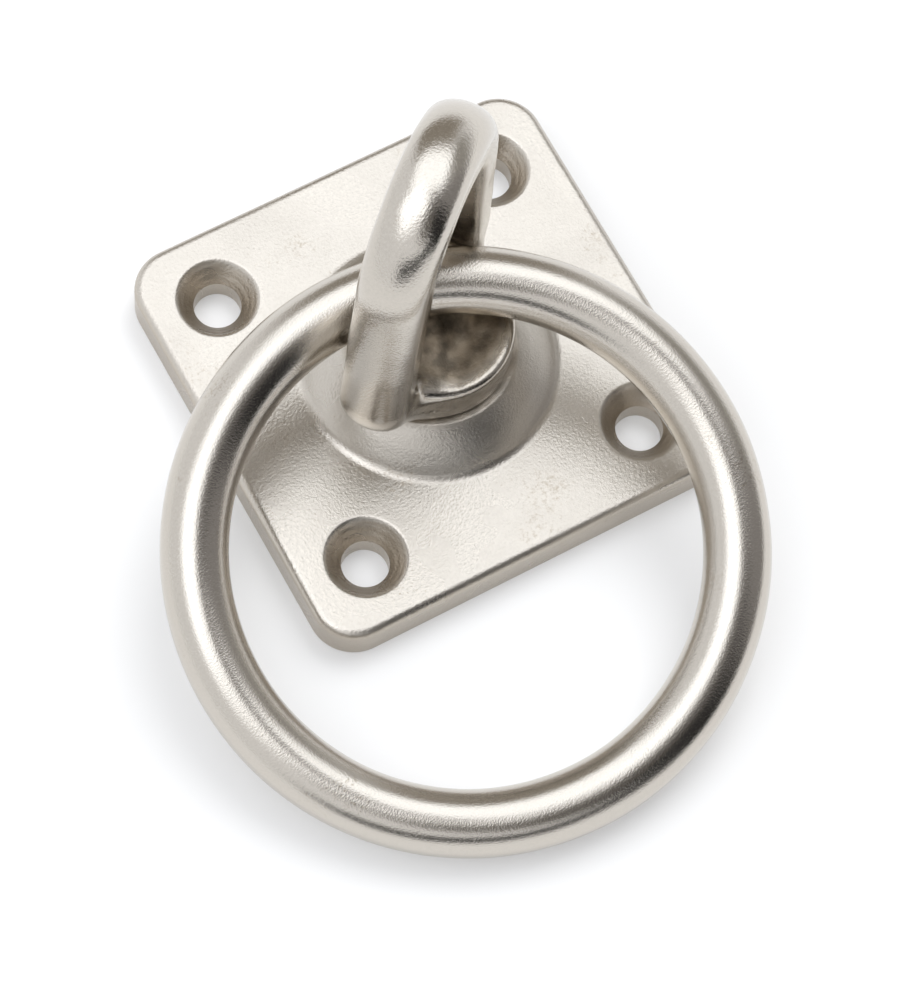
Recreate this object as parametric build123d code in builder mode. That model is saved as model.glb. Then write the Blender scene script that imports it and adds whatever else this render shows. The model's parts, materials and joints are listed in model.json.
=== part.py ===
from build123d import *
import os
from math import acos, asin, atan2, cos, hypot, isclose, radians, sin

# Swivel pad eye: a square cast plate with a domed boss, an eye that swivels on a
# riveted stud through the boss, and a welded ring that hangs in the eye.
# Millimetres. The origin is the centre of the plate's back face, +Z points out of
# the mounting surface and the plate's sides run along X and Y.

# ---- base plate ----
plate_side = 50.6
plate_thickness = 5.2
plate_corner = 5.0
plate_edge_round = 1.0
back_edge_round = 0.3
screw_inset = 8.1
screw_hole = 5.3
countersink = 9.2
countersink_angle = 82
boss_foot = 28.6
boss_height = 4.1
boss_flat = 19.0
boss_wall = 3.4
boss_fillet = 1.5

# ---- swivel eye: stud, collar and loop ----
stud = 8.0
collar = 17.8
collar_height = 5.8
collar_round = 1.1
collar_underside_round = 0.5
rim_width = 1.5
dish_depth = 1.8
bar_width = 7.5
bar_outside = 2.8
bar_inside = 3.3
bar_corner = 0.6
parting_shift = 0.8
loop_rise = 33.0
loop_opening = 17.6
loop_top_radius = 9.3
belly_height = 3.4
foot_inset = 1.7
loop_turn = 40.0
loop_offset = 2.35

# ---- washer and riveted end, in the cavity under the boss ----
washer = 16.5
washer_thickness = 1.5
rivet_head = 12.0
rivet_head_height = 1.8

# ---- ring ----
ring_bore = 50.6
ring_wire = 7.4
ring_heading = 246.2
ring_shift = 2.8

# ---- clearances ----
stud_play = 0.05
collar_gap = 0.4
washer_gap = 0.3
cavity_side_gap = 0.6
ring_seat_gap = 0.2
ring_side_gap = 2.25

# ---- heights, from the mounting surface up ----
boss_top = plate_thickness + boss_height
cavity_top = boss_top - boss_wall
washer_bottom = cavity_top - washer_gap - washer_thickness
rivet_bottom = washer_bottom - rivet_head_height
collar_bottom = boss_top + collar_gap
collar_top = collar_bottom + collar_height
dish = collar - 2 * rim_width

# ---- the loop's centreline ----
# Seen square on, it is a top arc, two straight limbs that lean outward as they go
# down, and two belly arcs that turn in to the collar. The lean makes each limb the
# common tangent of its top arc and its belly arc. The bar's inner face is flat, and its
# widest line, the casting's parting line, lies a little outside the centreline.
bar_inner_face = bar_inside - parting_shift
half_width = loop_opening / 2 + bar_inner_face
foot_x = collar / 2 - foot_inset
foot_z = collar_bottom + collar_height / 2
belly_z = collar_top + belly_height
top_z = collar_top + loop_rise - loop_top_radius
belly_drop = belly_z - foot_z
belly_in = half_width - foot_x
belly_radius = (belly_drop**2 + belly_in**2) / (2 * belly_in)
belly_x = half_width - belly_radius
centres_apart = hypot(belly_x, top_z - belly_z)
lean = atan2(top_z - belly_z, -belly_x) - acos((belly_radius - loop_top_radius) / centres_apart)
foot_turn = asin(belly_drop / belly_radius)

loop_across = Vector(cos(radians(loop_turn)), sin(radians(loop_turn)), 0)
loop_through = Vector(-sin(radians(loop_turn)), cos(radians(loop_turn)), 0)
loop_origin = loop_through * loop_offset
loop_plane = Plane(origin=loop_origin, x_dir=loop_across, z_dir=-loop_through)

# ---- the ring as it lies ----
# Its wire rests on the collar and leans on one limb, and its far side drops until it
# meets the mounting surface. The sag is how far the wire falls across the collar.
up = Vector(0, 0, 1)
ring_radius = (ring_bore + ring_wire) / 2
ring_reach = collar / 2 + ring_shift
ring_sag = ring_reach**2 / (2 * ring_radius) * collar_top / ring_bore
ring_seat = collar_top + ring_seat_gap + ring_sag + ring_wire / 2
ring_tilt = asin((ring_seat - ring_wire / 2) / (2 * ring_radius))
ring_out = Vector(cos(radians(ring_heading)), sin(radians(ring_heading)), 0)
swing_axis = ring_out.cross(up)
side_space = bar_inner_face + ring_wire / 2 + ring_side_gap
ring_side_offset = half_width - side_space / abs(swing_axis.dot(loop_through))
ring_crossing = loop_across * ring_side_offset + loop_through * loop_offset
ring_apex = ring_crossing - swing_axis * ring_shift + up * ring_seat
ring_down = ring_out * cos(ring_tilt) - up * sin(ring_tilt)
ring_centre = ring_apex + ring_down * ring_radius


def arc_point(centre_x, centre_z, radius, angle):
    """The point of a circle at an angle in radians, from its own +x towards its +z."""
    return (centre_x + radius * cos(angle), centre_z + radius * sin(angle))


def mirrored(point):
    """The same point on the loop's other side."""
    return (-point[0], point[1])


def circles_at(part, radius, height):
    """The part's circular edges of that radius at that height."""
    return (
        part.edges()
        .filter_by(GeomType.CIRCLE)
        .filter_by(lambda edge: isclose(edge.radius, radius, abs_tol=0.01))
        .filter_by(lambda edge: isclose(edge.center().Z, height, abs_tol=0.01))
    )


# ---- base plate ----
# The boss is a zone of a sphere whose centre lies on the swivel axis.
foot_square = (boss_foot / 2) ** 2 + plate_thickness**2
flat_square = (boss_flat / 2) ** 2 + boss_top**2
boss_centre = (flat_square - foot_square) / (2 * boss_height)
boss_sphere = hypot(boss_foot / 2, plate_thickness - boss_centre)
boss_foot_angle = acos(boss_foot / 2 / boss_sphere)
boss_flat_angle = acos(boss_flat / 2 / boss_sphere)
boss_middle = arc_point(0, boss_centre, boss_sphere, (boss_foot_angle + boss_flat_angle) / 2)

with BuildPart() as base_plate:
    with BuildSketch(Plane.XY):
        RectangleRounded(plate_side, plate_side, plate_corner)
    extrude(amount=plate_thickness)
    fillet(base_plate.faces().sort_by(Axis.Z)[-1].edges(), plate_edge_round)
    fillet(base_plate.faces().sort_by(Axis.Z)[0].edges(), back_edge_round)
    with BuildSketch(Plane.XZ):
        with BuildLine():
            Polyline((0, boss_top), (0, 0), (boss_foot / 2, 0), (boss_foot / 2, plate_thickness))
            ThreePointArc((boss_foot / 2, plate_thickness), boss_middle, (boss_flat / 2, boss_top))
            Line((boss_flat / 2, boss_top), (0, boss_top))
        make_face()
    revolve(axis=Axis.Z)
    fillet(circles_at(base_plate, boss_foot / 2, plate_thickness), boss_fillet)
    # The cavity takes the washer and the riveted end, and the stud turns in the bore.
    with BuildSketch(Plane.XY):
        Circle(washer / 2 + cavity_side_gap)
    extrude(amount=cavity_top, mode=Mode.SUBTRACT)
    with BuildSketch(Plane.XY):
        Circle(stud / 2 + stud_play)
    extrude(amount=boss_top, mode=Mode.SUBTRACT)
    screw_spacing = plate_side - 2 * screw_inset
    with Locations(Plane.XY.offset(plate_thickness)):
        with GridLocations(screw_spacing, screw_spacing, 2, 2):
            CounterSinkHole(
                radius=screw_hole / 2,
                counter_sink_radius=countersink / 2,
                counter_sink_angle=countersink_angle,
            )

# ---- swivel eye ----
# The riveted end is a shallow cap of a sphere.
head_sphere = ((rivet_head / 2) ** 2 + rivet_head_height**2) / (2 * rivet_head_height)
head_middle_angle = 0.5 * asin(rivet_head / 2 / head_sphere)
head_middle = (
    head_sphere * sin(head_middle_angle),
    rivet_bottom + head_sphere * (1 - cos(head_middle_angle)),
)

with BuildPart() as swivel_eye:
    with BuildSketch(Plane.XZ):
        with BuildLine():
            ThreePointArc((0, rivet_bottom), head_middle, (rivet_head / 2, washer_bottom))
            Polyline(
                (rivet_head / 2, washer_bottom),
                (stud / 2, washer_bottom),
                (stud / 2, collar_bottom),
                (collar / 2, collar_bottom),
                (collar / 2, collar_top),
                (dish / 2, collar_top),
                (dish / 2 - dish_depth, collar_top - dish_depth),
                (0, collar_top - dish_depth),
                (0, rivet_bottom),
            )
        make_face()
    revolve(axis=Axis.Z)
    fillet(circles_at(swivel_eye, collar / 2, collar_top), collar_round)
    fillet(circles_at(swivel_eye, collar / 2, collar_bottom), collar_underside_round)
    # The loop is a D-shaped bar carried along the centreline from foot to foot.
    right_foot = (foot_x, foot_z)
    right_belly_middle = arc_point(belly_x, belly_z, belly_radius, (lean - foot_turn) / 2)
    right_belly_end = arc_point(belly_x, belly_z, belly_radius, lean)
    right_top = arc_point(0, top_z, loop_top_radius, lean)
    with BuildLine(loop_plane):
        ThreePointArc(mirrored(right_foot), mirrored(right_belly_middle), mirrored(right_belly_end))
        Line(mirrored(right_belly_end), mirrored(right_top))
        ThreePointArc(mirrored(right_top), (0, top_z + loop_top_radius), right_top)
        Line(right_top, right_belly_end)
        ThreePointArc(right_belly_end, right_belly_middle, right_foot)
    foot_direction = up * cos(foot_turn) - loop_across * sin(foot_turn)
    foot_place = loop_origin - loop_across * foot_x + up * foot_z
    with BuildSketch(Plane(origin=foot_place, x_dir=loop_through, z_dir=foot_direction)) as bar_section:
        with Locations((0, parting_shift)):
            Ellipse(bar_width / 2, bar_outside)
            Rectangle(bar_width, bar_inside, align=(Align.CENTER, Align.MAX))
        fillet(bar_section.vertices().group_by(Axis.Y)[0], bar_corner)
    sweep()
    # Its feet end level with the collar's underside.
    with BuildSketch(Plane.XY.offset(washer_bottom)):
        Circle(collar)
        Circle(stud / 2 + stud_play, mode=Mode.SUBTRACT)
    extrude(amount=collar_bottom - washer_bottom, mode=Mode.SUBTRACT)

# ---- washer, held under the boss by the riveted end ----
with BuildPart() as rivet_washer:
    with BuildSketch(Plane.XY.offset(washer_bottom)):
        Circle(washer / 2)
        Circle(stud / 2, mode=Mode.SUBTRACT)
    extrude(amount=washer_thickness)

# ---- ring ----
with BuildPart(Plane(origin=ring_centre, x_dir=swing_axis, z_dir=ring_down.cross(swing_axis))) as ring:
    Torus(ring_radius, ring_wire / 2)

base_plate.part.label = "base_plate"
swivel_eye.part.label = "swivel_eye"
rivet_washer.part.label = "rivet_washer"
ring.part.label = "ring"

os.makedirs("parts", exist_ok=True)
export_step(base_plate.part, "parts/base_plate.step")
export_step(swivel_eye.part, "parts/swivel_eye.step")
export_step(rivet_washer.part, "parts/rivet_washer.step")
export_step(ring.part, "parts/ring.step")
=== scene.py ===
import json
from math import acos, asin, atan2, ceil, cos, hypot, radians, sin, tan

import bmesh
import bpy
import numpy as np
from bpy.props import FloatProperty, FloatVectorProperty, PointerProperty
from mathutils import Matrix, Vector


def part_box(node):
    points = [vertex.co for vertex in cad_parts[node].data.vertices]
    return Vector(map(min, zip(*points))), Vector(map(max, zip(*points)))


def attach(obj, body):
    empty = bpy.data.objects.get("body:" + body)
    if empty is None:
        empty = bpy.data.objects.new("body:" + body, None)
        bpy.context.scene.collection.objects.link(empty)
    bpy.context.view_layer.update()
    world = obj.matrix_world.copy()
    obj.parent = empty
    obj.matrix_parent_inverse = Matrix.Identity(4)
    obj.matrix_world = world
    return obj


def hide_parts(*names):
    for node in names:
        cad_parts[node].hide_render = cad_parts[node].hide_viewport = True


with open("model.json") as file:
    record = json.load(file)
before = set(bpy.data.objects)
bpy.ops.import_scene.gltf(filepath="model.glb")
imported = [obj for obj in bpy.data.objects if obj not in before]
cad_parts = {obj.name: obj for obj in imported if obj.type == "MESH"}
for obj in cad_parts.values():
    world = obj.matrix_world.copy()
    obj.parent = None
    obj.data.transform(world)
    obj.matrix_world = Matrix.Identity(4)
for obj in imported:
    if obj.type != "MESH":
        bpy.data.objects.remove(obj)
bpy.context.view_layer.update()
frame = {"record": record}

bl_info = {
    "name": "Swivel Pad Eye",
    "version": (1, 0, 0),
    "blender": (4, 5, 0),
    "location": "3D View > Sidebar > Pad Eye",
    "description": "Makes the plate, the swivel eye, the washer and the ring of a nickel-plated pad eye",
    "category": "Object",
}

MM = 0.001
MOUNTS = {mount["name"]: mount for mount in frame["record"]["mounts"]}
SCREWS = MOUNTS["screw_pattern"]["dims"]
PLATE_LOW, PLATE_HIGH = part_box("base_plate")
WASHER_LOW, WASHER_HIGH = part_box("rivet_washer")
MERGE_GAP = 0.004 * MM  # points nearer than this become one
WHITE = (1.0, 1.0, 1.0, 1.0)


def linear(hex_colour):
    """Turns an sRGB colour such as "D4CDC0" to linear red, green and blue."""
    srgb = np.array([int(hex_colour[i : i + 2], 16) for i in (0, 2, 4)]) / 255
    return tuple(np.where(srgb <= 0.04045, srgb / 12.92, ((srgb + 0.055) / 1.055) ** 2.4).tolist())


def length(name, description, millimetres):
    """A size in the sidebar, in metres inside Blender."""
    return FloatProperty(
        name=name, description=description, default=millimetres * MM, min=0.0, unit="LENGTH", precision=5
    )


# ---------------------------------------------------------------- settings


class PadEyePlateSettings(bpy.types.PropertyGroup):
    """Sizes of the cast base plate."""

    side: length("Side", "Side of the square plate", (PLATE_HIGH.x - PLATE_LOW.x) / MM)
    thickness: length("Thickness", "Thickness of the flat part", 5.2)
    corner: length("Corner radius", "Radius of the plate's corners", 5.0)
    edge_round: length("Front edge round", "Rounding of the front edge", 1.0)
    back_round: length("Back edge round", "Rounding of the back edge", 0.3)
    screw_spacing: length("Screw spacing", "Distance between screw holes", SCREWS["spacing_x_mm"])
    screw_hole: length("Screw hole", "Diameter of the screw holes", 2 * SCREWS["hole_r_mm"])
    countersink: length("Countersink", "Diameter of the countersinks", 9.2)
    countersink_angle: FloatProperty(
        name="Countersink angle",
        description="Full angle of the countersinks",
        default=radians(82),
        subtype="ANGLE",
    )
    lip_round: length("Countersink lip", "Rounding where a countersink meets the face", 0.5)
    boss_foot: length("Boss foot", "Diameter of the boss where it leaves the plate", 28.6)
    boss_flat: length("Boss flat", "Diameter of the boss's flat top", 19.0)
    boss_top: length("Boss top", "Height of the boss above the back face", PLATE_HIGH.z / MM)
    boss_fillet: length("Boss fillet", "Fillet round the boss's foot", 1.5)
    bore: length("Stud bore", "Diameter of the bore for the stud", 8.1)
    cavity: length("Cavity", "Diameter of the cavity behind the boss", 17.7)
    cavity_top: length("Cavity top", "Height of the cavity's ceiling", 5.9)
    swell: length("Swell", "How far the cast face rises and sinks", 0.035)


class PadEyeLoopSettings(bpy.types.PropertyGroup):
    """Sizes of the swivel eye: collar, loop, stud and riveted end."""

    collar: length("Collar", "Diameter of the collar", 17.8)
    collar_bottom: length("Collar bottom", "Height of the collar's underside", 9.7)
    collar_top: length("Collar top", "Height of the collar's rim", 15.5)
    collar_round: length("Collar round", "Rounding of the collar's rim", 1.1)
    underside_round: length("Underside round", "Rounding of the collar's lower edge", 0.5)
    dish: length("Dish", "Diameter of the dish in the collar", 14.8)
    dish_depth: length("Dish depth", "Depth of the dish", 1.8)
    half_width: length("Loop half width", "From the loop's middle to the bar's centre", 11.3)
    foot_x: length("Foot", "From the loop's middle to the centre of a foot", 7.2)
    foot_z: length("Foot height", "Height of the centre of a foot", 12.6)
    belly_z: length("Belly height", "Height at which the loop is widest", 18.9)
    top_radius: length("Top radius", "Radius of the bar's centreline over the top", 9.3)
    top_z: length("Top centre", "Height of the top arc's centre", 39.2)
    bar_half_width: length("Bar half width", "Half the bar's width across the parting edge", 3.75)
    bar_outside: length("Bar outside", "From the parting edge to the outer face", 2.8)
    bar_inside: length("Bar inside", "From the parting edge to the inner face", 3.3)
    parting: length("Parting edge", "How far the parting edge lies outside the centreline", 0.8)
    turn: FloatProperty(
        name="Turn", description="Turn of the loop about the stud", default=radians(40), subtype="ANGLE"
    )
    offset: length("Offset", "How far the loop stands off the stud's axis", 2.35)
    blend: length("Blend", "Size of the cast fillet between loop and collar", 3.4)
    stud: length("Stud", "Diameter of the stud", 8.0)
    head: length("Riveted end", "Diameter of the riveted end", 12.0)
    head_height: length("Riveted end height", "Height of the riveted end", 1.8)
    swell: length("Swell", "How far the cast surface rises and sinks", 0.03)
    pitting: length("Pitting", "Roughness of the casting inside the dish", 0.05)
    cell: length("Mesh cell", "Size of the mesh's cells", 0.24)


class PadEyeRingSettings(bpy.types.PropertyGroup):
    """Sizes of the ring."""

    bore: length("Bore", "Clear diameter inside the ring", 50.6)
    wire: length("Wire", "Diameter of the ring's wire", 7.4)
    swell: length("Swell", "How far the wire is out of round", 0.02)


class PadEyeWasherSettings(bpy.types.PropertyGroup):
    """Sizes of the washer under the boss."""

    outside: length("Outside", "Diameter of the washer", (WASHER_HIGH.x - WASHER_LOW.x) / MM)
    inside: length("Inside", "Diameter of its hole", 8.0)
    edge_round: length("Edge round", "Rounding of its edges", 0.2)


class PadEyeFinishSettings(bpy.types.PropertyGroup):
    """Colours and surface of the nickel plating."""

    nickel: FloatVectorProperty(
        name="Nickel", description="Colour of the plating", subtype="COLOR", default=linear("CBC5BC")
    )
    # Brown of the pits and of the eye's stained dish. The same colour is also painted as shade on the plate's
    # walls and hollows, round the collar's foot and in the loop's opening.
    tarnish_and_shade: FloatVectorProperty(
        name="Tarnish", description="Colour of the stain in corners", subtype="COLOR", default=linear("A09381")
    )
    floor: FloatVectorProperty(
        name="Floor", description="Colour of the floor", subtype="COLOR", default=linear("FAFAFA")
    )


# ---------------------------------------------------------------- mesh tools


def grid_quads(rows, columns, closed, looped):
    """Corner numbers of a grid's quads.

    A closed grid also joins its last column to its first, and a looped one its last row to its first.
    """
    index = np.arange(rows * columns).reshape(rows, columns)
    if closed:
        index = np.concatenate([index, index[:, :1]], axis=1)
    if looped:
        index = np.concatenate([index, index[:1]])
    corners = [index[:-1, :-1], index[:-1, 1:], index[1:, 1:], index[1:, :-1]]
    return np.stack(corners, axis=-1).reshape(-1, 4)


def joined(sheets):
    """Puts several (points, quads) sheets together, each sheet's corners counted on from the last one's."""
    starts = np.cumsum([0] + [len(points) for points, _ in sheets[:-1]])
    points = np.concatenate([points for points, _ in sheets])
    quads = np.concatenate([quads + start for (_, quads), start in zip(sheets, starts)])
    return points, quads


def sheet(grid, closed=False, looped=False):
    """A grid of points, rows by columns by 3, as (points, quads)."""
    return grid.reshape(-1, 3), grid_quads(grid.shape[0], grid.shape[1], closed, looped)


def make_mesh(name, points, quads):
    """A mesh whose coincident points are merged and whose faces all point outward."""
    mesh = bpy.data.meshes.new(name)
    mesh.from_pydata(points.tolist(), [], quads.tolist())
    shell = bmesh.new()
    shell.from_mesh(mesh)
    bmesh.ops.remove_doubles(shell, verts=shell.verts, dist=MERGE_GAP)
    bmesh.ops.dissolve_degenerate(shell, edges=shell.edges, dist=MERGE_GAP)
    bmesh.ops.recalc_face_normals(shell, faces=shell.faces)
    shell.to_mesh(mesh)
    shell.free()
    mesh.shade_smooth()
    return mesh


def place_piece(name, mesh, material, body, node):
    """Puts a mesh in the scene as a piece that rides on a body and stands for a CAD node."""
    piece = bpy.data.objects.new(name, mesh)
    bpy.context.scene.collection.objects.link(piece)
    mesh.materials.append(material)
    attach(piece, body)
    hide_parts(node)
    return piece


def rounded_line(corners, radii, step, arc_turn=radians(9)):
    """A flat line through the corners with its inner corners rounded.

    Each arc touches both of its sides, which puts its ends radius times tan(half the turn) from the corner.
    Arc points stand arc_turn apart, and straight stretches are divided about every step.
    """
    corners = np.asarray(corners, float)
    line = [corners[:1]]
    for before, corner, after, radius in zip(corners[:-2], corners[1:-1], corners[2:], radii):
        into = (corner - before) / np.linalg.norm(corner - before)
        out = (after - corner) / np.linalg.norm(after - corner)
        turn = atan2(into[0] * out[1] - into[1] * out[0], into @ out)
        start = corner - into * radius * tan(abs(turn) / 2)
        centre = start + np.sign(turn) * radius * np.array([-into[1], into[0]])
        angles = np.linspace(0, turn, 1 + (ceil(abs(turn) / arc_turn) if radius else 0))[:, None]
        arm = start - centre
        line.append(centre + arm * np.cos(angles) + np.array([-arm[1], arm[0]]) * np.sin(angles))
    line.append(corners[-1:])
    line = np.concatenate(line)
    spans = np.diff(line, axis=0)
    cuts = np.maximum(1, np.ceil(np.linalg.norm(spans, axis=1) / step)).astype(int)
    pieces = [start + span * (np.arange(n) / n)[:, None] for start, span, n in zip(line[:-1], spans, cuts)]
    return np.concatenate(pieces + [line[-1:]])


def carried(path, outward, profile):
    """A profile carried along a path: path point plus out times its outward direction, and up as height."""
    flat = path[None] + outward[None] * profile[:, None, :1]
    height = np.broadcast_to(profile[:, None, 1:], flat.shape[:2] + (1,))
    return np.concatenate([flat, height], axis=-1)


def circle_of_directions(count):
    """Unit directions evenly round a circle, the first along X, without repeating it."""
    angles = np.linspace(0, 2 * np.pi, count, endpoint=False)
    return np.stack([np.cos(angles), np.sin(angles)], axis=-1)


def ripple(points, wavelength, seed):
    """Uneven waves between about -1 and 1: the mean of eight plane waves in seeded directions."""
    draw = np.random.default_rng(seed)
    directions = draw.normal(size=(8, points.shape[-1]))
    directions /= np.linalg.norm(directions, axis=1, keepdims=True)
    stretch = draw.uniform(0.7, 1.4, size=8)
    phases = draw.uniform(0, 2 * np.pi, size=8)
    waves = np.sin(points @ (directions * stretch[:, None]).T * (2 * np.pi / wavelength) + phases)
    return waves.mean(axis=-1) * 2


# ---------------------------------------------------------------- materials


def add_node(tree, kind, inputs=None, **settings):
    """Adds one node, sets it up, and gives its inputs values or links from other nodes' sockets."""
    node = tree.nodes.new(kind)
    for name, value in settings.items():
        setattr(node, name, value)
    for name, value in (inputs or {}).items():
        if isinstance(value, bpy.types.NodeSocket):
            tree.links.new(value, node.inputs[name])
        else:
            node.inputs[name].default_value = value
    return node


def stain_and_shade_recess(tree, place, colour, gloss, recess, finish):
    """Dulls the plating inside an egg-shaped place and darkens it to brown, and gives the new colour and
    roughness.

    recess is (centre, radius, height). The distance from its centre, with height stretched to match the
    radius, is upset by blotches two millimetres across, so the darkened patch has a ragged border. The patch is
    painted shade in the loop's opening and round the collar's foot, and real brown staining in the eye's dish.
    """
    centre, radius, tall = recess
    apart = add_node(
        tree, "ShaderNodeVectorMath", {0: place, 1: centre}, operation="SUBTRACT"
    ).outputs["Vector"]
    squashed = add_node(
        tree, "ShaderNodeVectorMath", {0: apart, 1: (1.0, 1.0, radius / tall)}, operation="MULTIPLY"
    ).outputs["Vector"]
    away = add_node(tree, "ShaderNodeVectorMath", {0: squashed}, operation="LENGTH").outputs["Value"]
    blotches = add_node(
        tree, "ShaderNodeTexNoise", {"Vector": place, "Scale": 1 / (2.2 * MM), "Detail": 4.0}
    ).outputs["Fac"]
    reach = add_node(
        tree, "ShaderNodeMath", {0: blotches, 1: 1.6 * MM, 2: away}, operation="MULTIPLY_ADD"
    ).outputs["Value"]
    # Mask of the darkened patch: painted shade in the loop's opening and round the collar's foot, real brown
    # staining in the eye's dish.
    stain_and_shade = add_node(
        tree,
        "ShaderNodeMapRange",
        {"Value": reach, "From Min": radius * 0.86, "From Max": radius * 1.08, "To Min": 0.9, "To Max": 0.0},
    ).outputs["Result"]
    mottle = add_node(
        tree,
        "ShaderNodeMapRange",
        {"Value": blotches, "From Min": 0.42, "From Max": 0.6, "To Min": 0.6, "To Max": 1.2},
    ).outputs["Result"]
    stain_and_shade_colour = add_node(
        tree, "ShaderNodeVectorMath", {0: tuple(finish.tarnish_and_shade), "Scale": mottle}, operation="SCALE"
    ).outputs["Vector"]
    colour = add_node(
        tree, "ShaderNodeMix", {"Factor": stain_and_shade, 6: colour, 7: stain_and_shade_colour}, data_type="RGBA"
    ).outputs[2]
    added_roughness = 0.3
    gloss = add_node(
        tree, "ShaderNodeMath", {0: stain_and_shade, 1: added_roughness, 2: gloss}, operation="MULTIPLY_ADD"
    ).outputs["Value"]
    return colour, gloss


def cutter_rings(tree, place, height, sinks):
    """Adds the rings that a cutter left in four countersinks to the height of the surface.

    sinks is (spacing, radius, pitch). The height gains a sine of the distance from the nearest hole's axis, and
    it fades out just inside the lip.
    """
    spacing, radius, pitch = sinks
    groove_depth = 0.006 * MM
    folded = add_node(tree, "ShaderNodeVectorMath", {0: place}, operation="ABSOLUTE").outputs["Vector"]
    level = add_node(
        tree, "ShaderNodeVectorMath", {0: folded, 1: (1.0, 1.0, 0.0)}, operation="MULTIPLY"
    ).outputs["Vector"]
    from_hole = add_node(
        tree, "ShaderNodeVectorMath", {0: level, 1: (spacing / 2, spacing / 2, 0)}, operation="DISTANCE"
    ).outputs["Value"]
    turns = add_node(
        tree, "ShaderNodeMath", {0: from_hole, 1: 2 * np.pi / pitch}, operation="MULTIPLY"
    ).outputs["Value"]
    groove = add_node(tree, "ShaderNodeMath", {0: turns}, operation="SINE").outputs["Value"]
    fade_start = radius - 0.3 * MM
    inside = add_node(
        tree,
        "ShaderNodeMapRange",
        {"Value": from_hole, "From Min": fade_start, "From Max": radius, "To Min": groove_depth, "To Max": 0.0},
    ).outputs["Result"]
    return add_node(
        tree, "ShaderNodeMath", {0: groove, 1: inside, 2: height}, operation="MULTIPLY_ADD"
    ).outputs["Value"]


def nickel_plate(name, finish, roughness, grain, grain_depth, wear, stain_and_shade_recesses=(), sinks=None, low=None):
    """Bright nickel over a tumbled casting or wire: a warm, slightly yellow white metal.

    The casting's grain, a third of a millimetre across, breaks the edges of every reflection into specks,
    and a broader unevenness keeps the gloss from being the same all over. wear, from 0 to 1, is how much of
    it is peppered with brown pits, which lie in patches. Each darkened recess is (centre, radius, height) of an
    egg-shaped place where the plating is dulled and darkened to brown: painted shade in the loop's opening
    and round the collar's foot, and real brown staining in the eye's dish. sinks is (spacing, radius, pitch) of
    turned countersinks, whose cutter left rings. low is the height below which walls and hollows are darkened
    towards brown as painted shade.
    """
    material = bpy.data.materials.new(name)
    material.use_nodes = True
    tree = material.node_tree
    shader = tree.nodes["Principled BSDF"]
    tarnish_and_shade = (*finish.tarnish_and_shade, 1.0)
    place = add_node(tree, "ShaderNodeTexCoord").outputs["Object"]
    specks = add_node(
        tree, "ShaderNodeTexNoise", {"Vector": place, "Scale": 1 / grain, "Detail": 3.0, "Roughness": 0.6}
    ).outputs["Fac"]
    clouds = add_node(
        tree, "ShaderNodeTexNoise", {"Vector": place, "Scale": 1 / (9 * MM), "Detail": 2.0}
    ).outputs["Fac"]
    glossiest, dullest = roughness * 0.85, roughness * 1.2
    gloss = add_node(
        tree,
        "ShaderNodeMapRange",
        {"Value": clouds, "From Min": 0.3, "From Max": 0.7, "To Min": glossiest, "To Max": dullest},
    ).outputs["Result"]
    tint = add_node(
        tree,
        "ShaderNodeMapRange",
        {"Value": specks, "From Min": 0.25, "From Max": 0.75, "To Min": 0.93, "To Max": 1.03},
    ).outputs["Result"]
    colour = add_node(
        tree, "ShaderNodeVectorMath", {0: tuple(finish.nickel), "Scale": tint}, operation="SCALE"
    ).outputs["Vector"]
    height = add_node(
        tree, "ShaderNodeMath", {0: specks, 1: grain_depth}, operation="MULTIPLY"
    ).outputs["Value"]
    pepper = add_node(
        tree, "ShaderNodeTexNoise", {"Vector": place, "Scale": 1 / (0.42 * MM), "Detail": 5.0, "Roughness": 0.7}
    ).outputs["Fac"]
    patches = add_node(
        tree, "ShaderNodeTexNoise", {"Vector": place, "Scale": 1 / (7 * MM), "Detail": 3.0}
    ).outputs["Fac"]
    peppered = add_node(
        tree, "ShaderNodeMath", {0: patches, 1: 0.9, 2: pepper}, operation="MULTIPLY_ADD"
    ).outputs["Value"]
    first_pits = 1.24 - 0.2 * wear
    full_pits = 1.44 - 0.2 * wear
    pits = add_node(
        tree,
        "ShaderNodeMapRange",
        {"Value": peppered, "From Min": first_pits, "From Max": full_pits, "To Min": 0.0, "To Max": 0.7},
    ).outputs["Result"]
    colour = add_node(
        tree, "ShaderNodeMix", {"Factor": pits, 6: colour, 7: tarnish_and_shade}, data_type="RGBA"
    ).outputs[2]
    # Darkened places: painted shade in the loop's opening and round the collar's foot, real brown staining in
    # the eye's dish.
    for recess in stain_and_shade_recesses:
        colour, gloss = stain_and_shade_recess(tree, place, colour, gloss, recess, finish)
    # Painted shade: walls and hollows below low are darkened towards brown.
    if low:
        level = add_node(tree, "ShaderNodeSeparateXYZ", {"Vector": place}).outputs["Z"]
        painted_wall_shade = add_node(
            tree,
            "ShaderNodeMapRange",
            {"Value": level, "From Min": low - 0.5 * MM, "From Max": low, "To Min": 0.5, "To Max": 0.0},
        ).outputs["Result"]
        colour = add_node(
            tree, "ShaderNodeMix", {"Factor": painted_wall_shade, 6: colour, 7: tarnish_and_shade}, data_type="RGBA"
        ).outputs[2]
    if sinks:
        height = cutter_rings(tree, place, height, sinks)
    bump = add_node(
        tree, "ShaderNodeBump", {"Height": height, "Distance": 1.0, "Strength": 1.0}
    ).outputs["Normal"]
    tree.links.new(colour, shader.inputs["Base Color"])
    tree.links.new(gloss, shader.inputs["Roughness"])
    tree.links.new(bump, shader.inputs["Normal"])
    shader.inputs["Metallic"].default_value = 1.0
    return material


# ---------------------------------------------------------------- base plate

QUARTER_POINTS = 49  # points on a quarter circle about the plate's middle
BORDER_POINTS = 25  # points along each side of a quarter's border
CORNER_POINTS = 19  # points round a corner of the plate


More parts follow.
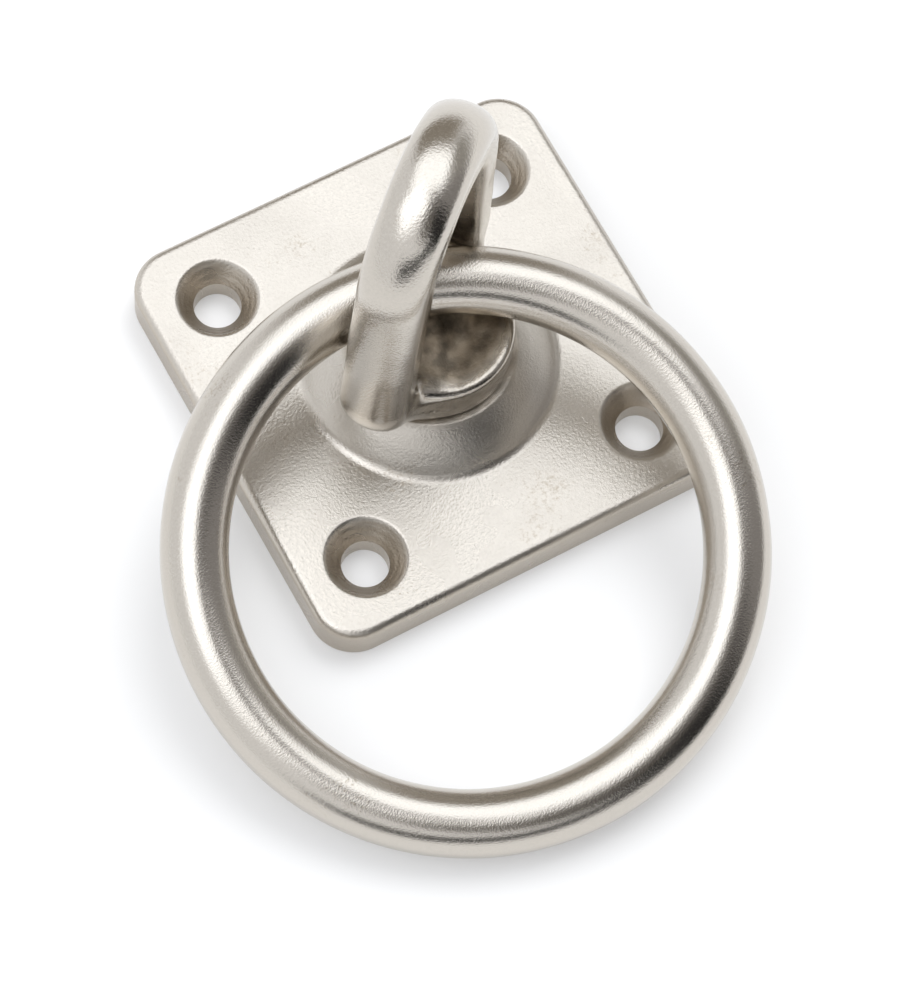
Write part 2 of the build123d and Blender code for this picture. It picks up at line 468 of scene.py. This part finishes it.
def quarter_outline(half, corner, step):
    """A quarter of the plate's outline, from (half, 0) round the corner to (0, half).

    A straight side, the corner's arc about (half - corner, half - corner), and the next straight side, with
    the outward direction at each point.
    """
    middle = half - corner
    along = np.linspace(0, middle, ceil(middle / step) + 1)[:-1]
    angles = np.linspace(0, np.pi / 2, CORNER_POINTS)
    arc_out = np.stack([np.cos(angles), np.sin(angles)], axis=-1)
    side = np.stack([np.full_like(along, half), along], axis=-1)
    side_out = np.broadcast_to([1.0, 0.0], side.shape)
    line = np.concatenate([side, middle + corner * arc_out, side[::-1, ::-1]])
    return line, np.concatenate([side_out, arc_out, side_out[::-1, ::-1]])


def quarter_border(half, corner, inset, inner_radius, step):
    """The border of a quarter of the face: along X, round the inset outline, down Y, and back on a circle."""
    line, outward = quarter_outline(half, corner, step)
    line = line - outward * inset
    share = np.linspace(0, 1, BORDER_POINTS)[:-1, None]
    bottom = np.array([[inner_radius, 0.0]]) * (1 - share) + line[:1] * share
    angles = np.linspace(np.pi / 2, 0, QUARTER_POINTS)[:-1]
    circle = inner_radius * np.stack([np.cos(angles), np.sin(angles)], axis=-1)
    left = line[-1:] * (1 - share) + np.array([[0.0, inner_radius]]) * share
    return np.concatenate([bottom, line[:-1], left, circle])


def spread(border, ring, height, rows):
    """Level rows of points from a border straight across to a ring, closer together near the ring.

    A row's share of the way is 1 less the rest of the way to the power one and a half.
    """
    share = 1 - (1 - np.linspace(0, 1, rows)) ** 1.5
    flat = border[None] * (1 - share)[:, None, None] + ring[None] * share[:, None, None]
    return np.concatenate([flat, np.full(flat.shape[:2] + (1,), height)], axis=-1)


def plate_surface(plate):
    """The plate's whole surface, as four turned copies of one quarter.

    A quarter has a sheet that runs from the back face through the countersunk hole to the front face, with the
    hole's profile carried round it; a strip whose profile is the plate's side; and a strip whose profile is the
    boss, turned about Z, with the bore and the cavity behind it. The boss's slope is an arc about a point on Z,
    through its foot and the edge of its flat top. Broad waves lift the front and leave the back flat.
    """
    half, thick = plate.side / 2, plate.thickness
    step = 0.7 * MM
    front_inset = plate.edge_round + 0.4 * MM
    back_inset = plate.back_round + 0.5 * MM
    boss_start = plate.boss_foot / 2 + 1.0 * MM
    front = quarter_border(half, plate.corner, front_inset, boss_start, step)
    back = quarter_border(half, plate.corner, back_inset, plate.cavity / 2, step)

    hole, sink = plate.screw_hole / 2, plate.countersink / 2
    throat = thick - (sink - hole) / tan(plate.countersink_angle / 2)
    hole_line = rounded_line(
        [(hole + 0.7 * MM, 0), (hole, 0), (hole, throat), (sink, thick), (sink + 0.9 * MM, thick)],
        [0.3 * MM, 0.2 * MM, plate.lip_round],
        0.3 * MM,
    )
    centre = np.full(2, plate.screw_spacing / 2)
    around = front - centre
    around = around / np.linalg.norm(around, axis=1, keepdims=True)
    hole_path = np.broadcast_to(centre, around.shape)
    back_sheet = spread(back, centre + around * hole_line[0, 0], 0.0, rows=13)
    front_sheet = spread(front, centre + around * hole_line[-1, 0], thick, rows=20)[::-1]
    hole_sheet = np.concatenate([back_sheet[:-1], carried(hole_path, around, hole_line), front_sheet[1:]])

    line, outward = quarter_outline(half, plate.corner, step)
    side_line = rounded_line(
        [(-front_inset, thick), (0, thick), (0, 0), (-back_inset, 0)],
        [plate.edge_round, plate.back_round],
        0.35 * MM,
        radians(7),
    )
    side_sheet = carried(line, outward, side_line)

    foot, flat, top = plate.boss_foot / 2, plate.boss_flat / 2, plate.boss_top
    dome_centre = ((flat**2 + top**2) - (foot**2 + thick**2)) / (2 * (top - thick))
    dome = hypot(foot, thick - dome_centre)
    angles = np.linspace(acos(foot / dome), acos(flat / dome), 5)
    dome_line = [(dome * cos(angle), dome_centre + dome * sin(angle)) for angle in angles]
    boss_line = rounded_line(
        [
            (boss_start, thick),
            *dome_line,
            (plate.bore / 2, top),
            (plate.bore / 2, plate.cavity_top),
            (plate.cavity / 2, plate.cavity_top),
            (plate.cavity / 2, 0),
        ],
        [plate.boss_fillet, 8 * MM, 8 * MM, 8 * MM, 0.6 * MM, 0.2 * MM, 0.2 * MM, 0.3 * MM],
        0.3 * MM,
        radians(4),
    )
    quarter_angles = np.linspace(0, np.pi / 2, QUARTER_POINTS)
    turned = np.stack([np.cos(quarter_angles), np.sin(quarter_angles)], axis=-1)
    boss_sheet = carried(np.zeros_like(turned), turned, boss_line)

    points, quads = joined([sheet(hole_sheet, closed=True), sheet(side_sheet), sheet(boss_sheet)])
    quarters = []
    for _ in range(4):
        quarters.append((points, quads))
        points = np.stack([-points[:, 1], points[:, 0], points[:, 2]], axis=-1)
    points, quads = joined(quarters)
    points[:, 2] += plate.swell * ripple(points[:, :2], 19 * MM, seed=4) * np.clip(points[:, 2] / thick, 0, 1)
    return points, quads


class PADEYE_OT_base_plate(bpy.types.Operator):
    """Makes the cast base plate with its boss and four countersunk holes"""

    bl_idname = "pad_eye.base_plate"
    bl_label = "Base Plate"

    def execute(self, context):
        plate = context.scene.pad_eye_plate
        finish = context.scene.pad_eye_finish
        # Painted shade on the boss's top, round and under the collar's foot.
        shade_round_the_collar = ((0.0, 0.0, plate.boss_top), 10.2 * MM, 3 * MM)
        material = nickel_plate(
            "satin_nickel_on_tumbled_casting",
            finish,
            roughness=0.28,
            grain=0.28 * MM,
            grain_depth=0.05 * MM,
            wear=0.6,
            stain_and_shade_recesses=[shade_round_the_collar],
            sinks=(plate.screw_spacing, plate.countersink / 2, 0.6 * MM),
            low=plate.thickness - 0.25 * MM,
        )
        mesh = make_mesh("cast_plate", *plate_surface(plate))
        place_piece("cast_plate", mesh, material, "plate", "base_plate")
        return {"FINISHED"}


# ---------------------------------------------------------------- swivel eye

# How square the two halves of the bar's section are: 2 is an ellipse, and more is squarer.
OUTER_POWER = 2.1
INNER_POWER = 6.0


def smooth_least(first, second, size):
    """The lesser of two distances with a fillet: it falls below both by size / 4 where they are equal."""
    share = np.clip(1 - np.abs(first - second) / size, 0, 1)
    return np.minimum(first, second) - share**2 * size / 4


class LoopLine:
    """The loop's centreline, seen square on: a top arc, two leaning limbs and two belly arcs."""

    def __init__(self, eye):
        drop, turn_in = eye.belly_z - eye.foot_z, eye.half_width - eye.foot_x
        self.belly = (drop**2 + turn_in**2) / (2 * turn_in)
        self.belly_x, self.belly_z = eye.half_width - self.belly, eye.belly_z
        self.top, self.top_z = eye.top_radius, eye.top_z
        rise = self.top_z - self.belly_z
        self.lean = atan2(rise, -self.belly_x) - acos((self.belly - self.top) / hypot(self.belly_x, rise))
        self.foot_turn = asin(drop / self.belly)

    def points(self):
        """Centreline points from one foot over the top to the other, and the outward direction at each."""
        lean, foot = self.lean, self.foot_turn
        belly_points, limb_points, top_points = 50, 30, 90
        belly = np.linspace(-foot, lean, belly_points)
        top = np.linspace(lean, np.pi - lean, top_points)
        belly_out = np.stack([np.cos(belly), np.sin(belly)], axis=-1)
        top_out = np.stack([np.cos(top), np.sin(top)], axis=-1)
        belly_line = belly_out * self.belly + [self.belly_x, self.belly_z]
        top_line = top_out * self.top + [0, self.top_z]
        share = np.linspace(0, 1, limb_points)[1:-1, None]
        limb = belly_line[-1] * (1 - share) + top_line[0] * share
        limb_out = np.broadcast_to(belly_out[-1], limb.shape)
        other = np.array([-1.0, 1.0])
        line = [belly_line, limb, top_line, limb[::-1] * other, belly_line[::-1] * other]
        outward = [belly_out, limb_out, top_out, limb_out[::-1] * other, belly_out[::-1] * other]
        return np.concatenate(line), np.concatenate(outward)

    def outside(self, across, height):
        """How far a point lies outside the centreline, across the bar and in the loop's plane."""
        across = np.abs(across)
        up_x, up_z = -sin(self.lean), cos(self.lean)
        below = (across - self.belly_x) * up_x + (height - self.belly_z) * up_z < 0
        above = across * up_x + (height - self.top_z) * up_z > 0
        limb = (across - self.belly_x) * cos(self.lean) + (height - self.belly_z) * sin(self.lean) - self.belly
        belly = np.hypot(across - self.belly_x, height - self.belly_z) - self.belly
        top = np.hypot(across, height - self.top_z) - self.top
        return np.where(below, belly, np.where(above, top, limb))


def bar_section(eye, count):
    """The bar's outline about its centreline, as (across the loop's plane, outward).

    Two half superellipses meet at the parting edge: a round outer one and a nearly square inner one.
    """
    angles = np.linspace(0, 2 * np.pi, count, endpoint=False)
    wide, deep = np.cos(angles), np.sin(angles)
    power = np.where(deep >= 0, OUTER_POWER, INNER_POWER)
    depth = np.where(deep >= 0, eye.bar_outside, eye.bar_inside)
    reach = (np.abs(wide) ** power + np.abs(deep) ** power) ** (-1 / power)
    return np.stack([eye.bar_half_width * reach * wide, depth * reach * deep + eye.parting], axis=-1)


def eye_field(eye, loop, points):
    """How far points lie outside the swivel eye, roughly, and below 0 inside.

    The loop's bar is a superellipse about its centreline, cut off level at the collar's underside. The collar
    is a rounded disc with a ball-shaped dish, and the stud and riveted end hang under it. The loop and collar
    meet in a smooth fillet, and the whole casting has a faint swell, with coarser pitting inside the dish.
    """
    across = points[:, 0] * cos(eye.turn) + points[:, 1] * sin(eye.turn)
    through = -points[:, 0] * sin(eye.turn) + points[:, 1] * cos(eye.turn) - eye.offset
    height = points[:, 2]
    outward = loop.outside(across, height) - eye.parting
    power = np.where(outward >= 0, OUTER_POWER, INNER_POWER)
    depth = np.where(outward >= 0, eye.bar_outside, eye.bar_inside)
    never_zero = 1e-12
    size = np.abs(through / eye.bar_half_width) ** power + np.abs(outward / depth) ** power + never_zero
    bar = (size ** (1 / power) - 1) * np.minimum(depth, eye.bar_half_width)
    foot_cut = eye.collar_bottom + 0.25 * MM - height
    bar = -smooth_least(-bar, -foot_cut, 2.2 * MM)

    radius = np.hypot(points[:, 0], points[:, 1])
    middle = (eye.collar_bottom + eye.collar_top) / 2
    rounding = np.where(height > middle, eye.collar_round, eye.underside_round)
    over = radius - eye.collar / 2 + rounding
    above = np.abs(height - middle) - (eye.collar_top - eye.collar_bottom) / 2 + rounding
    beyond = np.hypot(np.maximum(over, 0), np.maximum(above, 0))
    disc = beyond + np.minimum(np.maximum(over, above), 0) - rounding
    dish_ball = ((eye.dish / 2) ** 2 + eye.dish_depth**2) / (2 * eye.dish_depth)
    dish = np.hypot(radius, height - (eye.collar_top - eye.dish_depth + dish_ball)) - dish_ball
    dish += eye.pitting * ripple(points, 2.4 * MM, seed=11) * np.clip(1 - dish / MM, 0, 1)
    collar = -smooth_least(-disc, dish, 1.2 * MM)

    washer_bottom = WASHER_LOW.z
    stud = np.maximum(radius - eye.stud / 2, np.maximum(washer_bottom - height, height - middle))
    head_ball = ((eye.head / 2) ** 2 + eye.head_height**2) / (2 * eye.head_height)
    head_centre = washer_bottom - eye.head_height + head_ball
    head = np.maximum(np.hypot(radius, height - head_centre) - head_ball, height - washer_bottom)
    body = np.minimum(smooth_least(bar, collar, eye.blend), np.minimum(stud, head))
    return body + eye.swell * ripple(points, 6.5 * MM, seed=2)


def swivel_eye_surface(eye, loop):
    """Rough closed surfaces of the eye: the bar's section carried along its centreline, and a turned body."""
    line, outward = loop.points()
    section = bar_section(eye, 48)
    x_axis = np.array([cos(eye.turn), sin(eye.turn), 0.0])
    y_axis = np.array([-sin(eye.turn), cos(eye.turn), 0.0])
    z_axis = np.array([0.0, 0.0, 1.0])
    middle = line[:, :1] * x_axis + y_axis * eye.offset + line[:, 1:] * z_axis
    out = outward[:, :1] * x_axis + outward[:, 1:] * z_axis
    bar = middle[:, None] + section[None, :, :1] * y_axis + section[None, :, 1:] * out[:, None]
    ends = [np.broadcast_to(bar[end].mean(axis=0), (1,) + bar.shape[1:]) for end in (0, -1)]
    bar = np.concatenate([ends[0], bar, ends[1]])
    washer_bottom = WASHER_LOW.z
    head_low = washer_bottom - eye.head_height
    body_line = rounded_line(
        [
            (0, head_low),
            (eye.head * 0.3, head_low + 0.35 * MM),
            (eye.head / 2, washer_bottom),
            (eye.stud / 2, washer_bottom),
            (eye.stud / 2, eye.collar_bottom),
            (eye.collar / 2, eye.collar_bottom),
            (eye.collar / 2, eye.collar_top),
            (eye.dish / 2, eye.collar_top),
            (eye.dish / 2 - eye.dish_depth, eye.collar_top - eye.dish_depth),
            (0, eye.collar_top - eye.dish_depth),
        ],
        [0, 0, 0, 0, eye.underside_round, eye.collar_round, 0.2 * MM, 0.3 * MM],
        0.8 * MM,
    )
    directions = circle_of_directions(96)
    body = carried(np.zeros_like(directions), directions, body_line)
    return joined([sheet(bar, closed=True), sheet(body, closed=True)])


def fused(points, quads, cell):
    """One closed skin of evenly spaced cells over surfaces that run into each other."""
    rough = make_mesh("rough_eye", points / MM, quads)
    holder = bpy.data.objects.new("rough_eye", rough)
    bpy.context.scene.collection.objects.link(holder)
    remesh = holder.modifiers.new("fuse", "REMESH")
    remesh.mode = "VOXEL"
    remesh.voxel_size = cell / MM
    graph = bpy.context.evaluated_depsgraph_get()
    mesh = bpy.data.meshes.new_from_object(holder.evaluated_get(graph))
    bpy.data.objects.remove(holder)
    bpy.data.meshes.remove(rough)
    return mesh


def settle(mesh, field, rounds):
    """Moves a mesh's points onto the surface where the field is 0.

    Each round steps every point down the field's slope by the field's value over the slope's square, with the
    slope from differences a hundredth of a millimetre either way. No step is longer than longest_step, and a
    slope under a half counts as a half. The last slopes are also the surface's normals.
    """
    points = np.empty(len(mesh.vertices) * 3)
    mesh.vertices.foreach_get("co", points)
    points = points.reshape(-1, 3) * MM
    reach = 0.01 * MM
    longest_step = 0.3 * MM
    for _ in range(rounds):
        slope = np.stack(
            [(field(points + step) - field(points - step)) / (2 * reach) for step in np.eye(3) * reach], axis=-1
        )
        steep = np.maximum((slope**2).sum(axis=1), 0.5**2)
        move = slope * (field(points) / steep)[:, None]
        far = np.maximum(np.linalg.norm(move, axis=1, keepdims=True) / longest_step, 1)
        points -= move / far
    mesh.vertices.foreach_set("co", points.ravel())
    mesh.update()
    mesh.shade_smooth()
    normals = slope / np.linalg.norm(slope, axis=1, keepdims=True)
    mesh.normals_split_custom_set_from_vertices(normals.tolist())


class PADEYE_OT_swivel_eye(bpy.types.Operator):
    """Makes the swivel eye: the loop, its collar and the riveted stud in one casting"""

    bl_idname = "pad_eye.swivel_eye"
    bl_label = "Swivel Eye"

    def execute(self, context):
        eye = context.scene.pad_eye_loop
        finish = context.scene.pad_eye_finish
        loop = LoopLine(eye)
        mesh = fused(*swivel_eye_surface(eye, loop), eye.cell)
        settle(mesh, lambda points: eye_field(eye, loop, points), rounds=8)
        mesh.name = "swivel_loop"
        collar_middle = (0.0, 0.0, (eye.collar_bottom + eye.collar_top) / 2)
        dish_stain = (collar_middle, eye.collar / 2 + 0.9 * MM, 6.5 * MM)
        opening_middle = (-eye.offset * sin(eye.turn), eye.offset * cos(eye.turn), eye.top_z - 11.0 * MM)
        # Painted shade on the loop's inner faces, inside its opening.
        opening_shade = (opening_middle, eye.half_width - eye.bar_inside + 1.6 * MM, 19.5 * MM)
        material = nickel_plate(
            "bright_nickel_on_casting",
            finish,
            roughness=0.12,
            grain=0.3 * MM,
            grain_depth=0.034 * MM,
            wear=0.5,
            stain_and_shade_recesses=[dish_stain, opening_shade],
        )
        place_piece("swivel_loop", mesh, material, "eye", "swivel_eye")
        return {"FINISHED"}


# ---------------------------------------------------------------- washer


class PADEYE_OT_rivet_washer(bpy.types.Operator):
    """Makes the washer that the riveted end holds under the boss"""

    bl_idname = "pad_eye.rivet_washer"
    bl_label = "Rivet Washer"

    def execute(self, context):
        washer = context.scene.pad_eye_washer
        finish = context.scene.pad_eye_finish
        low, high = WASHER_LOW.z, WASHER_HIGH.z
        middle = (low + high) / 2
        inner, outer = washer.inside / 2, washer.outside / 2
        line = rounded_line(
            [(inner, middle), (inner, low), (outer, low), (outer, high), (inner, high), (inner, middle)],
            [washer.edge_round] * 4,
            0.5 * MM,
        )
        directions = circle_of_directions(144)
        points, quads = sheet(carried(np.zeros_like(directions), directions, line), closed=True)
        mesh = make_mesh("backing_washer", points, quads)
        material = nickel_plate(
            "dull_nickel_on_pressed_washer",
            finish,
            roughness=0.36,
            grain=0.3 * MM,
            grain_depth=0.03 * MM,
            wear=0.6,
        )
        place_piece("backing_washer", mesh, material, "eye", "rivet_washer")
        return {"FINISHED"}


# ---------------------------------------------------------------- ring


def ring_surface(ring):
    """A torus: a circle the size of the wire carried round a circle, about the ring's own axis.

    The wire's radius swells and thins a little round the ring.
    """
    centre = Vector(MOUNTS["ring"]["pos_m"])
    axis = Vector(MOUNTS["ring"]["axis"]).normalized()
    level = axis.cross(Vector((0, 0, 1))).normalized()
    downhill = axis.cross(level)
    around = circle_of_directions(420)
    section = circle_of_directions(72)
    radius = (ring.bore + ring.wire) / 2
    outward = around[:, :1] * np.array(level) + around[:, 1:] * np.array(downhill)
    wire = ring.wire / 2
    out = outward[:, None] * section[None, :, :1] + np.array(axis) * section[None, :, 1:]
    points = np.array(centre) + outward[:, None] * radius + out * wire
    thinner = ring.swell * (1 + ripple(points, 14 * MM, seed=7))[..., None]
    return points - out * np.maximum(thinner, 0)


class PADEYE_OT_ring(bpy.types.Operator):
    """Makes the welded ring that hangs in the eye"""

    bl_idname = "pad_eye.ring"
    bl_label = "Ring"

    def execute(self, context):
        finish = context.scene.pad_eye_finish
        points, quads = sheet(ring_surface(context.scene.pad_eye_ring), closed=True, looped=True)
        mesh = make_mesh("welded_ring", points, quads)
        material = nickel_plate(
            "bright_nickel_on_drawn_wire",
            finish,
            roughness=0.12,
            grain=0.2 * MM,
            grain_depth=0.026 * MM,
            wear=0.5,
        )
        place_piece("welded_ring", mesh, material, "ring", "ring")
        return {"FINISHED"}


# ---------------------------------------------------------------- stage

# The camera's aim, how far away it stands, its heading and angle over the floor, and its roll.
CAMERA_AIM = Vector((-8.413, -18.618, 15.0)) * MM
CAMERA_AWAY = 424.07 * MM
CAMERA_HEADING, CAMERA_RISE, CAMERA_ROLL = radians(231.720), radians(68.634), radians(10.023)
CAMERA_LENS = 144.0
FLOOR_HALF = 3.0
FLOOR_Z = -0.05 * MM
KEY_AWAY = 1.4
SKY = (0.97, 0.98, 1.0, 1.0)
CAMERA_BACK = Vector(
    (cos(CAMERA_RISE) * cos(CAMERA_HEADING), cos(CAMERA_RISE) * sin(CAMERA_HEADING), sin(CAMERA_RISE))
)
LEVEL_RIGHT = Vector((-sin(CAMERA_HEADING), cos(CAMERA_HEADING), 0.0))
CAMERA_RIGHT = LEVEL_RIGHT * cos(CAMERA_ROLL) + CAMERA_BACK.cross(LEVEL_RIGHT) * sin(CAMERA_ROLL)


def studio_direction(tilt, heading):
    """A direction tilt degrees away from the lens axis, towards heading degrees round it from the right."""
    up = CAMERA_BACK.cross(CAMERA_RIGHT)
    aside = CAMERA_RIGHT * cos(radians(heading)) + up * sin(radians(heading))
    return (CAMERA_BACK * cos(radians(tilt)) + aside * sin(radians(tilt))).normalized()


def add_panel(tree, direction, colour, panel):
    """Lays one soft-edged panel of the studio over the colour of the sky so far.

    panel is (tilt, heading, turn, half width, half height, softness, brightness), in degrees, and the
    widths are tangents from the panel's middle.
    """
    tilt, heading, turn, half_width, half_height, soft, radiance = panel
    middle = studio_direction(tilt, heading)
    outer = studio_direction(tilt + 90, heading)
    side = middle.cross(outer)
    wide = side * cos(radians(turn)) + outer * sin(radians(turn))
    tall = outer * cos(radians(turn)) - side * sin(radians(turn))
    ahead = add_node(
        tree, "ShaderNodeVectorMath", {0: direction, 1: middle}, operation="DOT_PRODUCT"
    ).outputs[1]
    facing = add_node(tree, "ShaderNodeMath", {0: ahead, 1: 0.02}, operation="MAXIMUM").outputs[0]
    edges = []
    for axis, half in ((wide, half_width), (tall, half_height)):
        along = add_node(
            tree, "ShaderNodeVectorMath", {0: direction, 1: axis}, operation="DOT_PRODUCT"
        ).outputs[1]
        slope = add_node(tree, "ShaderNodeMath", {0: along, 1: facing}, operation="DIVIDE").outputs[0]
        away = add_node(tree, "ShaderNodeMath", {0: slope}, operation="ABSOLUTE").outputs[0]
        full, none = max(half - soft, 0.0), half + soft
        edge = add_node(
            tree,
            "ShaderNodeMapRange",
            {"Value": away, "From Min": full, "From Max": none, "To Min": 1.0, "To Max": 0.0},
            interpolation_type="SMOOTHSTEP",
        )
        edges.append(edge.outputs["Result"])
    mask = add_node(tree, "ShaderNodeMath", {0: edges[0], 1: edges[1]}, operation="MULTIPLY").outputs[0]
    return add_node(
        tree, "ShaderNodeMix", {"Factor": mask, 6: colour, 7: (*radiance, 1.0)}, data_type="RGBA"
    ).outputs[2]


STUDIO_PANELS = [
    # brownish far end of the studio, above the plate's back edge
    (90, 92, 0, 0.55, 0.44, 0.20, (0.36, 0.33, 0.29)),
    (76, 36, 0, 0.42, 0.34, 0.22, (0.40, 0.39, 0.37)),
    # dark open side, to the right and below it
    (58, -8, 0, 0.55, 1.10, 0.20, (0.31, 0.30, 0.30)),
    (60, -27, 6, 0.25, 0.80, 0.14, (0.03, 0.03, 0.03)),
    (20, -42, 0, 0.22, 0.20, 0.12, (0.20, 0.19, 0.18)),
    # big softbox overhead and its side wing
    (44, 84, 0, 0.56, 0.36, 0.12, (1.78, 1.83, 1.90)),
    (20, 150, 35, 0.38, 0.30, 0.10, (2.2, 2.25, 2.35)),
    # dark far edge of the table, low in front
    (54, -80, 0, 0.60, 0.16, 0.08, (0.08, 0.08, 0.08)),
]


def make_world(scene):
    """A pale studio with softboxes and a dark side, which bright metal mirrors. The backdrop is plain white."""
    world = bpy.data.worlds.new("studio")
    world.use_nodes = True
    scene.world = world
    tree = world.node_tree
    background = tree.nodes["Background"]
    direction = add_node(tree, "ShaderNodeTexCoord").outputs["Generated"]
    sky = add_node(tree, "ShaderNodeRGB")
    colour = sky.outputs[0]
    colour.default_value = SKY
    for panel in STUDIO_PANELS:
        colour = add_panel(tree, direction, colour, panel)
    seen = add_node(tree, "ShaderNodeLightPath").outputs["Is Camera Ray"]
    colour = add_node(
        tree, "ShaderNodeMix", {"Factor": seen, 6: colour, 7: WHITE}, data_type="RGBA"
    ).outputs[2]
    tree.links.new(colour, background.inputs["Color"])


class PADEYE_OT_stage(bpy.types.Operator):
    """Makes the floor, the studio light and the camera"""

    bl_idname = "pad_eye.stage"
    bl_label = "Stage"

    def execute(self, context):
        scene = context.scene
        finish = scene.pad_eye_finish
        low, high = -FLOOR_HALF, FLOOR_HALF
        near = [(low, low, FLOOR_Z), (high, low, FLOOR_Z)]
        far = [(low, high, FLOOR_Z), (high, high, FLOOR_Z)]
        points, quads = sheet(np.array([near, far]))
        mesh = bpy.data.meshes.new("floor")
        mesh.from_pydata(points.tolist(), [], quads.tolist())
        floor = bpy.data.objects.new("floor", mesh)
        scene.collection.objects.link(floor)
        material = bpy.data.materials.new("lit_white_sheet")
        material.use_nodes = True
        shader = material.node_tree.nodes["Principled BSDF"]
        shader.inputs["Base Color"].default_value = (0.62, 0.62, 0.62, 1.0)
        shader.inputs["Emission Color"].default_value = (*finish.floor, 1.0)
        shader.inputs["Emission Strength"].default_value = 0.3
        shader.inputs["Roughness"].default_value = 0.9
        shader.inputs["Specular IOR Level"].default_value = 0.0
        mesh.materials.append(material)

        make_world(scene)
        lamp = bpy.data.lights.new("key_light", "AREA")
        lamp.shape = "DISK"
        lamp.size = 0.9
        lamp.energy = 8.0
        key = bpy.data.objects.new("key_light", lamp)
        towards = studio_direction(50, 66)
        facing = towards.to_track_quat("Z", "Y").to_matrix().to_4x4()
        key.matrix_world = Matrix.Translation(towards * KEY_AWAY) @ facing
        key.visible_glossy = False
        scene.collection.objects.link(key)

        optics = bpy.data.cameras.new("camera")
        optics.lens = CAMERA_LENS
        optics.clip_start = 0.01
        camera = bpy.data.objects.new("camera", optics)
        up = CAMERA_BACK.cross(CAMERA_RIGHT)
        turned = Matrix((CAMERA_RIGHT, up, CAMERA_BACK)).transposed().to_4x4()
        camera.matrix_world = Matrix.Translation(CAMERA_AIM + CAMERA_BACK * CAMERA_AWAY) @ turned
        scene.collection.objects.link(camera)
        scene.camera = camera
        scene.view_settings.view_transform = "Standard"
        return {"FINISHED"}


# ---------------------------------------------------------------- add-on


class PADEYE_PT_panel(bpy.types.Panel):
    """Lists the pad eye's pieces and their settings"""

    bl_label = "Pad Eye"
    bl_idname = "PADEYE_PT_panel"
    bl_space_type = "VIEW_3D"
    bl_region_type = "UI"
    bl_category = "Pad Eye"

    def draw(self, context):
        for name, operator in (
            ("pad_eye_plate", PADEYE_OT_base_plate),
            ("pad_eye_loop", PADEYE_OT_swivel_eye),
            ("pad_eye_washer", PADEYE_OT_rivet_washer),
            ("pad_eye_ring", PADEYE_OT_ring),
            ("pad_eye_finish", PADEYE_OT_stage),
        ):
            box = self.layout.box()
            box.operator(operator.bl_idname)
            settings = getattr(context.scene, name)
            for key in settings.__annotations__:
                box.prop(settings, key)


CLASSES = (
    PadEyePlateSettings,
    PadEyeLoopSettings,
    PadEyeRingSettings,
    PadEyeWasherSettings,
    PadEyeFinishSettings,
    PADEYE_OT_base_plate,
    PADEYE_OT_swivel_eye,
    PADEYE_OT_rivet_washer,
    PADEYE_OT_ring,
    PADEYE_OT_stage,
    PADEYE_PT_panel,
)


def register():
    for item in CLASSES:
        bpy.utils.register_class(item)
    bpy.types.Scene.pad_eye_plate = PointerProperty(type=PadEyePlateSettings)
    bpy.types.Scene.pad_eye_loop = PointerProperty(type=PadEyeLoopSettings)
    bpy.types.Scene.pad_eye_ring = PointerProperty(type=PadEyeRingSettings)
    bpy.types.Scene.pad_eye_washer = PointerProperty(type=PadEyeWasherSettings)
    bpy.types.Scene.pad_eye_finish = PointerProperty(type=PadEyeFinishSettings)


def unregister():
    for name in ("plate", "loop", "ring", "washer", "finish"):
        delattr(bpy.types.Scene, "pad_eye_" + name)
    for item in reversed(CLASSES):
        bpy.utils.unregister_class(item)


def main():
    register()
    bpy.ops.pad_eye.base_plate()
    bpy.ops.pad_eye.swivel_eye()
    bpy.ops.pad_eye.rivet_washer()
    bpy.ops.pad_eye.ring()
    bpy.ops.pad_eye.stage()


if __name__ == "__main__":
    main()
